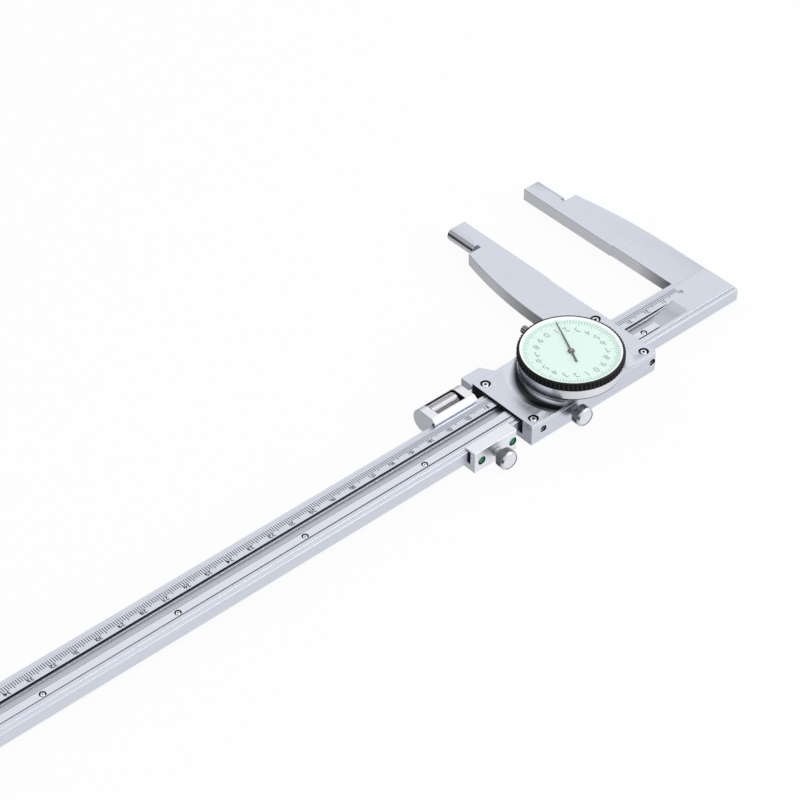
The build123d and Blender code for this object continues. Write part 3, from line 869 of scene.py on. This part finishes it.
class CALIPER_OT_stage(bpy.types.Operator):
    """Makes the floor, the soft light and the camera."""

    bl_idname = "caliper.stage"
    bl_label = "Stage"

    def execute(self, context):
        scene = context.scene
        scene.view_settings.view_transform = "Standard"
        half = 4.0
        ground = BEAM_LOW.z - 3.1 * MM
        corners = [(-half, -half, ground), (half, -half, ground), (half, half, ground), (-half, half, ground)]
        floor = linked("floor", mesh_of("floor", corners, [[0, 1, 2, 3]]))
        floor.data.materials.append(self.floor_material())
        self.world(scene)
        self.lamp("key_softbox", (-0.75, 1.12, 0.96), (0.07, 0.0, 0.02), size=1.3, power=9.5)
        self.camera(scene)
        return {"FINISHED"}

    def floor_material(self):
        """Pale floor that shows near white to the camera, keeps the shadow and lets metal show the studio."""
        material, shader = plain_finish("pale_floor", (0.86, 0.87, 0.89, 1.0), 0.0, 0.9)
        tree = material.node_tree
        white = node_in(tree, "ShaderNodeEmission", values={"Color": (1.0, 1.0, 1.0, 1.0)})
        path = node_in(tree, "ShaderNodeLightPath").outputs
        share = node_in(tree, "ShaderNodeMath", {0: path["Is Camera Ray"]}, {1: 0.93}, operation="MULTIPLY")
        seen = self.mixed(tree, share.outputs[0], shader.outputs["BSDF"], white.outputs["Emission"])
        clear = node_in(tree, "ShaderNodeBsdfTransparent")
        metal = self.mixed(tree, path["Is Glossy Ray"], seen, clear.outputs["BSDF"])
        tree.links.new(metal, tree.nodes["Material Output"].inputs["Surface"])
        return material

    def world(self, scene):
        """Soft surroundings: white to the camera, and a studio of pale and dark sides to the metal."""
        world = bpy.data.worlds.new("soft_studio")
        world.use_nodes = True
        scene.world = world
        tree = world.node_tree
        soft = tree.nodes["Background"]
        soft.inputs["Color"].default_value = (0.96, 0.98, 1.0, 1.0)
        soft.inputs["Strength"].default_value = 0.88
        place = node_in(tree, "ShaderNodeTexCoord").outputs["Generated"]
        height = node_in(tree, "ShaderNodeSeparateXYZ", {"Vector": place}).outputs["Z"]
        gradient = node_in(tree, "ShaderNodeTexGradient", {"Vector": place}, gradient_type="RADIAL")
        about = gradient.outputs["Fac"]
        below = self.greys(tree, about, ((0.0, 0.8), (0.25, 0.5), (0.5, 0.5), (0.64, 0.8), (0.8, 0.95)))
        pale_end = ((0.6, 0.03), (0.7, 0.7), (0.85, 1.0))
        level = self.greys(tree, about, ((0.0, 0.7), (0.2, 0.3), (0.28, 0.03)) + pale_end)
        far_side = ((0.0, 0.99), (0.2, 0.99), (0.26, 0.45), (0.36, 0.3), (0.42, 0.7), (0.46, 1.1))
        near_side = ((0.52, 1.1), (0.57, 0.7), (0.62, 0.75), (0.8, 0.98))
        above = self.greys(tree, about, far_side + near_side)
        low_share = self.height_share(tree, height, -0.5, -0.2)
        high_share = self.height_share(tree, height, 0.1, 0.5)
        lower = self.blended(tree, low_share, below, level)
        whole = self.blended(tree, high_share, lower, above)
        studio = node_in(tree, "ShaderNodeBackground", {"Color": whole})
        white = node_in(tree, "ShaderNodeBackground", values={"Color": (1.0, 1.0, 1.0, 1.0)})
        path = node_in(tree, "ShaderNodeLightPath").outputs
        metal = self.mixed(tree, path["Is Glossy Ray"], soft.outputs[0], studio.outputs[0])
        seen = self.mixed(tree, path["Is Camera Ray"], metal, white.outputs[0])
        tree.links.new(seen, tree.nodes["World Output"].inputs["Surface"])

    def mixed(self, tree, share, first, second):
        """Shader that goes from the first to the second with a share."""
        return node_in(tree, "ShaderNodeMixShader", {"Fac": share, 1: first, 2: second}).outputs["Shader"]

    def blended(self, tree, share, first, second):
        """Colour that goes from the first to the second with a share."""
        wires = {0: share, 6: first, 7: second}
        return node_in(tree, "ShaderNodeMix", wires, data_type="RGBA").outputs[2]

    def greys(self, tree, about, stops):
        """Greys at places round the studio, the last joined to the first."""
        closed = stops + ((1.0, stops[0][1]),)
        return ramp_in(tree, about, [(place, (grey, grey, grey * 1.02, 1.0)) for place, grey in closed])

    def height_share(self, tree, height, low, high):
        """Share that grows from 0 to 1 between two heights of the studio."""
        limits = {"From Min": low, "From Max": high}
        soft = {"interpolation_type": "SMOOTHSTEP"}
        return node_in(tree, "ShaderNodeMapRange", {"Value": height}, limits, **soft).outputs["Result"]

    def lamp(self, name, place, target, size, power):
        """Square softbox aimed at a target."""
        light = bpy.data.lights.new(name, "AREA")
        light.shape = "SQUARE"
        light.size = size
        light.energy = power
        lamp = linked(name, light)
        lamp.location = place
        aim = Vector(target) - Vector(place)
        lamp.rotation_euler = aim.to_track_quat("-Z", "Y").to_euler()

    def camera(self, scene):
        """Camera at the photograph's viewpoint."""
        lens = bpy.data.cameras.new("photo_camera")
        lens.sensor_width = 36.0
        lens.lens = 117.9656
        lens.clip_start = 0.05
        lens.clip_end = 20.0
        camera = linked("photo_camera", lens)
        right = Vector((-0.749361, 0.662162, 0.000385))
        up = Vector((-0.435685, -0.493497, 0.752754))
        back = Vector((0.498636, 0.563917, 0.658301))
        turn = Matrix((right, up, back)).transposed().to_4x4()
        camera.matrix_world = Matrix.Translation((0.6506593, 0.5552113, 0.6891332)) @ turn
        scene.camera = camera


class CALIPER_OT_beam(bpy.types.Operator):
    """Makes the beam with its fixed jaw, and the end stop."""

    bl_idname = "caliper.beam"
    bl_label = "Beam and fixed jaw"

    def execute(self, context):
        beam = eased_copy("beam", "ground_beam", "steel", "beam")
        groove_wall = -2.4 * MM
        jaw_top = -10.5 * MM

        def on_wall(at, out):
            return abs(at.y - groove_wall) < 0.02 * MM and out.y > 0.9

        def on_nib(at, out):
            return at.y < NIB_START and at.x < -8.1 * MM and out.xy.length > 0.99

        def on_jaw(at, out):
            return at.y < jaw_top and at.x > -3 * MM and out.x > 0.95

        def in_groove(at, out):
            across = -2.45 * MM < at.y < 6.5 * MM
            return across and at.x > 7 * MM and at.z < 5.95 * MM and out.z > 0.5

        # Painted shade on the groove's wall
        painted(beam, "groove", on_wall)
        painted(beam, "polish", on_nib)
        # Painted shade on the fixed jaw's side, darker towards the beam
        painted(beam, "fixed_wall_shade", on_jaw)
        painted(beam, "milled", in_groove)
        eased_copy("end_stop", "eased_end_stop", "steel", "beam")
        return {"FINISHED"}


class CALIPER_OT_scale(bpy.types.Operator):
    """Makes the beam's marks and numerals."""

    bl_idname = "caliper.scale"
    bl_label = "Beam scale"

    def execute(self, context):
        top = 6.0 * MM
        zero = 1.45
        values = {
            "Count": 521,
            "Start": (zero * MM, -7.6 * MM, top),
            "Pitch": (1.0 * MM, 0, 0),
            "Short": 2.6 * MM,
            "Middle": 3.3 * MM,
            "Long": 4.2 * MM,
            "Width": 0.31 * MM,
            "Depth": 0.012 * MM,
            "Material": finish("dark_ink"),
        }
        marks = linked("scale_marks", bpy.data.meshes.new("scale_marks"))
        grown(marks, scale_tree(), values)
        placed(marks, "beam")
        labels = []
        for number in range(53):
            labels.append((str(number), ((zero - 1.3 + 10 * number) * MM, -3.95 * MM, top + 0.006 * MM)))
        figures = numerals("scale_numerals", labels, sizes().scale_numeral_height, -0.02, 0.15 * MM)
        dressed(figures, "dark_ink", "beam")
        return {"FINISHED"}


class CALIPER_OT_rack(bpy.types.Operator):
    """Makes the rack with its fine teeth, and its screws."""

    bl_idname = "caliper.rack"
    bl_label = "Rack"

    def execute(self, context):
        front = 2.35 * MM
        corners = [(RACK_LOW.x, front), (RACK_HIGH.x, front)]
        corners += [(RACK_HIGH.x, RACK_HIGH.y), (RACK_LOW.x, RACK_HIGH.y)]
        bar = linked("toothed_rack", prism("toothed_rack", corners, RACK_LOW.z, RACK_HIGH.z))
        first = Vector((30.95 * MM, 4.45 * MM, RACK_HIGH.z))
        step = Vector((RACK_SCREW_STEP, 0, 0))
        bore = 1.4 * MM
        sunk = 0.6 * MM
        drilled(bar, [(first + number * step, UP, bore, sunk) for number in range(RACK_SCREWS)])
        pitch = sizes().rack_pitch
        length = RACK_HIGH.x - RACK_LOW.x
        values = {
            "Count": int(length / pitch) - 1,
            "Start": (RACK_LOW.x + pitch, 2.38 * MM, middle("rack").z),
            "Pitch": (pitch, 0, 0),
            "Tooth Radius": 0.36 * MM,
            "Height": RACK_HIGH.z - RACK_LOW.z,
            "Material": finish("rack"),
        }
        grown(bar, rack_tree(), values)
        placed(bar, "beam", ["rack"])
        head, cross = screw_head("rack_screw", 0.95 * MM, -0.55 * MM, -0.1 * MM, 0.3 * MM)
        liner = well_liner("rack_screw_well", bore, sunk)
        values = {"Count": RACK_SCREWS, "Pitch": tuple(step)}
        screw_set("rack_screw", "beam", first, head, [liner, cross], row_tree(), values)
        return {"FINISHED"}


class CALIPER_OT_slider(bpy.types.Operator):
    """Makes the slider with its jaw, its gib, the cover plate and the rod."""

    bl_idname = "caliper.slider"
    bl_label = "Slider and cover plate"

    def execute(self, context):
        holes = [(mouth, SIDE, SLIDER_SET_BORE, SLIDER_SET_SUNK) for mouth in SLIDER_SET_SCREWS]
        body = eased_copy("slider_body", "slider_with_jaw", "steel", "slider", holes)

        def on_nib(at, out):
            return at.y < NIB_START and at.x > 43.25 * MM and abs(out.y) < 0.1

        def jaw_back(at, out):
            return NIB_START < at.y < -17.5 * MM and at.x > 45 * MM and out.x > 0.5 and abs(out.z) < 0.1

        painted(body, "polish", on_nib)
        # Painted shade on the back of the sliding jaw, darker towards the beam
        painted(body, "sliding_wall_shade", jaw_back)
        # Painted shade: the slider's end face gets the darker milled finish
        painted(body, "milled", lambda at, out: at.x > PLATE_END - 0.2 * MM and out.x > 0.95)
        holes = []
        for x in (PLATE_START + PLATE_SCREW_INSET, PLATE_END - PLATE_SCREW_INSET):
            for y in (-PLATE_SCREW_Y, PLATE_SCREW_Y):
                holes.append(((x, y, PLATE_TOP), UP, PLATE_SCREW_BORE, PLATE_SCREW_SUNK))
        eased_copy("cover_plate", "plate_with_seat", "steel", "slider", holes, 0.16 * MM)
        # The gib takes the near-black finish that paints shade in recesses
        node_look("recess", "slider_gib")
        eased_copy("fine_adjust_rod", "fine_rod", "polish", "slider", (), 0.05 * MM)
        self.dark_end()
        return {"FINISHED"}

    def dark_end(self):
        """Thin black sheet of painted shadow on the slider's end, between the cheeks."""
        thick = 0.04 * MM
        strips = []
        step = 6.08 * MM
        for far, low, high in ((12.0 * MM, step, PLATE_TOP - 0.2 * MM), (-10.45 * MM, -2.4 * MM, step)):
            corners = [(PLATE_END - thick, -17.1 * MM), (PLATE_END + thick, -17.1 * MM)]
            corners += [(PLATE_END + thick, far), (PLATE_END - thick, far)]
            strips.append(prism("strip", corners, low, high))
        shadow_sheet = linked("slider_end_painted_shadow", joined("slider_end_painted_shadow", strips))
        dressed(shadow_sheet, "recess", "slider")


class CALIPER_OT_plate_screws(bpy.types.Operator):
    """Makes the four screws of the cover plate."""

    bl_idname = "caliper.plate_screws"
    bl_label = "Cover plate screws"

    def execute(self, context):
        head, cross = screw_head("plate_screw", 1.5 * MM, -1.1 * MM, -0.3 * MM, 0.6 * MM)
        liner = well_liner("plate_screw_well", PLATE_SCREW_BORE, PLATE_SCREW_SUNK)
        centre = ((PLATE_START + PLATE_END) / 2, 0.0, PLATE_TOP)
        values = {"Length": PLATE_END - PLATE_START - 2 * PLATE_SCREW_INSET, "Width": 2 * PLATE_SCREW_Y}
        screw_set("plate_screw", "slider", centre, head, [cross, liner], grid_tree(), values)
        return {"FINISHED"}


class CALIPER_OT_set_screws(bpy.types.Operator):
    """Makes the gibs' set screws in the sides of the slider and the carriage."""

    bl_idname = "caliper.set_screws"
    bl_label = "Set screws"

    def execute(self, context):
        # The slider's set screws take a darkened copy of the green lacquer: painted shade of their deeper
        # bores
        self.screws("slider", SLIDER_SET_SCREWS, SLIDER_SET_BORE, SLIDER_SET_SUNK, 1.4 * MM, "shaded_lacquer")
        self.screws("carriage", CARRIAGE_SET_SCREWS, CARRIAGE_SET_BORE, 0.5 * MM, 1.65 * MM, "lacquer")
        return {"FINISHED"}

    def screws(self, body, mouths, bore, sunk, radius, look):
        """Slotted screws with lacquered ends, sunk in bores; the bores and the slots are lined with painted
        shade.
        """
        name = body + "_set_screws"
        ends = []
        shade_parts = []
        for mouth in mouths:
            lie = facing(Vector(mouth) - Vector((0, sunk, 0)), SIDE)
            liner = well_liner("liner", bore, sunk + 0.2 * MM)
            liner.transform(facing(mouth, SIDE))
            shade_parts.append(liner)
            profile = [(0, -0.5 * MM), (radius, -0.5 * MM), (radius, -0.1 * MM), (radius * 0.85, 0), (0, 0)]
            ends.append(turned_profile("end", profile, 28, lie))
            half = radius * 0.95
            thin = radius * 0.2
            corners = [(-half, -thin), (half, -thin), (half, thin), (-half, thin)]
            tilt = Matrix.Rotation(math.radians(35), 4, "Z")
            shade_parts.append(prism("slot", corners, -0.2 * MM, 0.01 * MM, lie @ tilt))
        dressed(shaded(linked(name, joined(name, ends))), look, body)
        dark = linked(name + "_slots", joined(name + "_slots", shade_parts))
        dressed(dark, "recess", body)


class CALIPER_OT_case(bpy.types.Operator):
    """Makes the polished case under the bezel."""

    bl_idname = "caliper.case"
    bl_label = "Dial case"

    def execute(self, context):
        eased_copy("dial_case", "polished_case", "turned", "slider", (), 0.12 * MM)
        profile = in_mm((20.35, 10.02), (20.85, 10.02), (20.85, 10.38), (20.35, 10.38), (20.35, 10.02))
        # Near-black ring: painted shade in the seam between the case and its seat
        turned_piece("case_seam", profile, 120, on_dial_axis(), "recess", "slider")
        self.seat_cove()
        return {"FINISHED"}

    def seat_cove(self):
        """Polished hollow curve that carries the seat down into the cover plate."""
        profile = in_mm((21.32, 9.98), (21.42, 9.2), (21.8, 8.62), (22.6, 8.1), (23.8, 7.7), (25.4, 7.42))
        profile += in_mm((26.8, 7.32), (26.8, 7.2), (20.9, 7.2), (20.9, 9.98), (21.32, 9.98))
        mesh = turned_profile("seat_cove", profile, 180, on_dial_axis())
        cove = linked("seat_cove", cut_flush(mesh, SLIDER_SIDE - 0.01 * MM))
        # The cove's finish holds a painted shadow of the case on one side
        dressed(shaded(cove), "cove", "slider")
        painted(cove, "steel", lambda at, out: abs(out.y) > 0.999)


class CALIPER_OT_bezel(bpy.types.Operator):
    """Makes the ribbed bezel with the white ring inside it."""

    bl_idname = "caliper.bezel"
    bl_label = "Bezel"

    def execute(self, context):
        core = (BEZEL_HIGH.x - BEZEL_LOW.x) / 2 - 0.32 * MM
        low = 14.85 * MM
        top = BEZEL_HIGH.z
        inner = 20.6 * MM
        profile = [
            (inner, low),
            (core, low),
            (core, top - 0.3 * MM),
            (core - 0.25 * MM, top - 0.04 * MM),
            (core - 0.45 * MM, top),
            (inner + 0.12 * MM, top),
            (inner, top - 0.12 * MM),
            (inner, low),
        ]
        place = on_dial_axis()
        ring = linked("ribbed_bezel", turned_profile("ribbed_bezel", profile, 228, place))
        length = top - low - 0.55 * MM
        centre = place @ Vector((0, 0, low + 0.15 * MM + length / 2))
        ribbed(ring, sizes().bezel_ribs, core - 0.13 * MM, 0.45 * MM, length, centre, place, "black")
        shaded(ring, 40)
        placed(ring, "bezel", ["bezel"])
        # Painted shade on the core between the ribs
        blackened(ring, place, core)
        face = FACE_HIGH.z
        profile = [
            (inner, face),
            (inner, top - 0.06 * MM),
            (20.5 * MM, top - 0.06 * MM),
            (20.44 * MM, face + 0.68 * MM),
            (19.8 * MM, face + 0.68 * MM),
            (19.72 * MM, face + 0.6 * MM),
            (19.7 * MM, face),
            (inner, face),
        ]
        turned_piece("white_ring", profile, 180, place, "white", "bezel")
        return {"FINISHED"}


class CALIPER_OT_dial(bpy.types.Operator):
    """Makes the dial's enamel, marks and numerals, and the crystal."""

    bl_idname = "caliper.dial"
    bl_label = "Dial and crystal"

    def execute(self, context):
        node_look("mint", "dial_face")
        node_look("crystal", "crystal")
        face = FACE_HIGH.z
        values = {
            "Count": sizes().dial_marks,
            "Outer Radius": 19.6 * MM,
            "Centre": (DIAL_CENTRE.x, DIAL_CENTRE.y, face),
            "Short": 1.95 * MM,
            "Middle": 2.8 * MM,
            "Width": 0.4 * MM,
            "Depth": 0.02 * MM,
            "Material": finish("green_ink"),
        }
        marks = linked("dial_marks", bpy.data.meshes.new("dial_marks"))
        grown(marks, dial_marks_tree(), values)
        placed(marks, "bezel")
        labels = []
        radius = 14.15 * MM
        for number in range(20):
            angle = math.radians(90 - 18 * number)
            x = DIAL_CENTRE.x + 0.25 * MM + radius * math.cos(angle)
            y = DIAL_CENTRE.y + 0.4 * MM + radius * math.sin(angle)
            labels.append((str(number % 10), (x, y, face + 0.012 * MM)))
        figures = numerals("dial_numerals", labels, sizes().numeral_height, 0.012, 0.0)
        dressed(figures, "grey_ink", "bezel")
        return {"FINISHED"}


class CALIPER_OT_pointer(bpy.types.Operator):
    """Makes the needle with its hub and tail."""

    bl_idname = "caliper.pointer"
    bl_label = "Pointer"

    def execute(self, context):
        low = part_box("pointer")[0].z
        place = on_dial_axis() @ Matrix.Rotation(math.radians(244.6), 4, "Z")
        blade = in_mm((-1.0, -0.4), (18.6, -0.18), (18.6, 0.18), (-1.0, 0.4))
        tail = in_mm((1.0, 0.36), (-6.9, 0.44), (-6.9, -0.44), (1.0, -0.36))
        top = low + 0.2 * MM
        hub = [(0, low), (1.4 * MM, low), (1.4 * MM, top), (1.2 * MM, top + 0.12 * MM), (0, top + 0.12 * MM)]
        meshes = [
            prism("blade", blade, low, top, place),
            prism("tail", tail, low, top, place),
            turned_profile("hub", hub, 40, place),
        ]
        needle = linked("needle", joined("needle", meshes))
        dressed(shaded(needle), "needle", "pointer", ["pointer"])
        cap = [(0, top + 0.08 * MM), (0.5 * MM, top + 0.08 * MM), (0.45 * MM, top + 0.15 * MM)]
        cap.append((0, top + 0.18 * MM))
        turned_piece("needle_cap", cap, 32, place, "knurl", "pointer")
        return {"FINISHED"}


class CALIPER_OT_movement(bpy.types.Operator):
    """Gives the movement inside the case its finishes."""

    bl_idname = "caliper.movement"
    bl_label = "Movement"

    def execute(self, context):
        node_look("brass", "movement_pillars", "movement_bridge", "drive_wheel")
        node_look("rack", "rack_pinion", "pointer_pinion")
        return {"FINISHED"}


class CALIPER_OT_carriage(bpy.types.Operator):
    """Makes the fine-adjustment carriage."""

    bl_idname = "caliper.carriage"
    bl_label = "Fine-adjustment carriage"

    def execute(self, context):
        holes = [(mouth, SIDE, CARRIAGE_SET_BORE, 0.9 * MM) for mouth in CARRIAGE_SET_SCREWS]
        body = eased_copy("carriage_body", "carriage_shell", "satin", "carriage", holes)
        start = CARRIAGE_START + 4.1 * MM
        end = start + 14.6 * MM

        def in_window(at, out):
            inside = start < at.x < end and -20.0 * MM < at.y < -11.6 * MM
            return inside and max(abs(out.x), abs(out.y)) > 0.9

        # Painted shade: the faces inside the nut's window are near black
        painted(body, "recess", in_window)
        # The gib takes the near-black finish that paints shade in recesses
        node_look("recess", "carriage_gib")
        return {"FINISHED"}


class CALIPER_OT_thumb_screws(bpy.types.Operator):
    """Makes the two thumb screws with their knurled rims."""

    bl_idname = "caliper.thumb_screws"
    bl_label = "Thumb screws"

    def execute(self, context):
        head = 4.6
        neck = 2.3
        rim = 3.95
        for body in ("slider_clamp", "carriage_clamp"):
            node = body + "_screw"
            low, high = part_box(node)
            centre = (low + high) / 2
            place = facing(Vector((centre.x, high.y, centre.z)), SIDE)
            reach = (high.y - low.y) / MM
            profile = in_mm(
                (0, -reach),
                (1.9, -reach),
                (1.9, -head - 1.5),
                (neck, -head - 1.4),
                (neck, -head),
                (3.6, -head),
                (rim, -head + 0.35),
                (rim, -1.2),
                (0, -1.2),
            )
            length = head - 1.65
            rib = 0.21
            bands = [
                (sizes().thumb_ribs, rim, rib, length, 0.4 - head + length / 2),
                (24, neck, rib, 1.3, -0.68 - head),
            ]
            knurled(node.replace("_screw", "_thumb_screw"), profile, 96, place, bands, "knurl", body, node)
            self.face(node.replace("clamp_screw", "thumb_face"), body, place)
        return {"FINISHED"}

    def face(self, name, body, place):
        """Smooth dished end of a thumb screw with a dark line of painted shade inside its rim."""
        profile = in_mm((0, -1.2), (4.2, -1.2), (4.2, -0.7), (3.85, -0.12), (3.6, 0), (3.45, -0.04))
        profile += in_mm((3.3, -0.25), (0, -0.55))
        turned_piece(name, profile, 96, place, "polish", body, 20)
        # Near-black ring: painted shade of the groove inside the rim
        profile = in_mm((3.26, -0.4), (3.44, -0.4), (3.44, -0.03), (3.26, -0.24), (3.26, -0.4))
        turned_piece(name + "_line", profile, 96, place, "blued", body)


class CALIPER_OT_nut(bpy.types.Operator):
    """Makes the knurled nut of the fine adjustment."""

    bl_idname = "caliper.nut"
    bl_label = "Knurled nut"

    def execute(self, context):
        low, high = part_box("fine_adjust_nut")
        place = facing((low + high) / 2, (1, 0, 0))
        half = (high.x - low.x) / 2 / MM
        core = 4.12
        bore = 1.62
        edge = 0.5
        profile = in_mm(
            (bore, -half),
            (core - edge, -half),
            (core, -half + edge),
            (core, half - edge),
            (core - edge, half),
            (bore, half),
            (bore, -half),
        )
        bands = [(44, core, 0.17, 2 * half - 1.2, 0)]
        knurled("knurled_nut", profile, 96, place, bands, "polish", "nut", "fine_adjust_nut")
        return {"FINISHED"}


class CALIPER_OT_lock(bpy.types.Operator):
    """Makes the bezel's lock screw with its knurled head."""

    bl_idname = "caliper.lock"
    bl_label = "Bezel lock screw"

    def execute(self, context):
        low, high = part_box("bezel_lock_screw")
        centre = (low + high) / 2
        place = facing(Vector((centre.x, low.y, centre.z)), (0, -1, 0))
        reach = (high.y - low.y) / MM
        head = 3.2
        rim = 1.62
        profile = in_mm((0, -reach), (0.7, -reach), (0.7, -head), (1.4, -head), (rim, -head + 0.2))
        profile += in_mm((rim, -0.25), (1.4, 0), (0, 0))
        bands = [(13, rim, 0.24, head - 0.5, -head / 2)]
        knurled("lock_knob", profile, 48, place, bands, "polish", "bezel_lock", "bezel_lock_screw")
        return {"FINISHED"}


class CALIPER_PT_panel(bpy.types.Panel):
    """Lists the caliper's pieces."""

    bl_idname = "CALIPER_PT_panel"
    bl_label = "Dial caliper"
    bl_space_type = "VIEW_3D"
    bl_region_type = "UI"
    bl_category = "Caliper"

    def draw(self, context):
        layout = self.layout
        for name in CaliperSizes.__annotations__:
            layout.prop(context.scene.caliper_sizes, name)
        for operator in OPERATORS:
            layout.operator(operator.bl_idname)


OPERATORS = (
    CALIPER_OT_stage,
    CALIPER_OT_beam,
    CALIPER_OT_scale,
    CALIPER_OT_rack,
    CALIPER_OT_slider,
    CALIPER_OT_plate_screws,
    CALIPER_OT_set_screws,
    CALIPER_OT_case,
    CALIPER_OT_bezel,
    CALIPER_OT_dial,
    CALIPER_OT_pointer,
    CALIPER_OT_movement,
    CALIPER_OT_carriage,
    CALIPER_OT_thumb_screws,
    CALIPER_OT_nut,
    CALIPER_OT_lock,
)


def register():
    """Registers the sizes, the operators and the panel."""
    bpy.utils.register_class(CaliperSizes)
    bpy.types.Scene.caliper_sizes = bpy.props.PointerProperty(type=CaliperSizes)
    for operator in OPERATORS:
        bpy.utils.register_class(operator)
    bpy.utils.register_class(CALIPER_PT_panel)


def unregister():
    """Takes the panel, the operators and the sizes away again."""
    bpy.utils.unregister_class(CALIPER_PT_panel)
    for operator in reversed(OPERATORS):
        bpy.utils.unregister_class(operator)
    del bpy.types.Scene.caliper_sizes
    bpy.utils.unregister_class(CaliperSizes)


def main():
    """Makes the caliper's pieces in order."""
    register()
    bpy.ops.caliper.stage()
    bpy.ops.caliper.beam()
    bpy.ops.caliper.scale()
    bpy.ops.caliper.rack()
    bpy.ops.caliper.slider()
    bpy.ops.caliper.plate_screws()
    bpy.ops.caliper.set_screws()
    bpy.ops.caliper.case()
    bpy.ops.caliper.bezel()
    bpy.ops.caliper.dial()
    bpy.ops.caliper.pointer()
    bpy.ops.caliper.movement()
    bpy.ops.caliper.carriage()
    bpy.ops.caliper.thumb_screws()
    bpy.ops.caliper.nut()
    bpy.ops.caliper.lock()


if __name__ == "__main__":
    main()
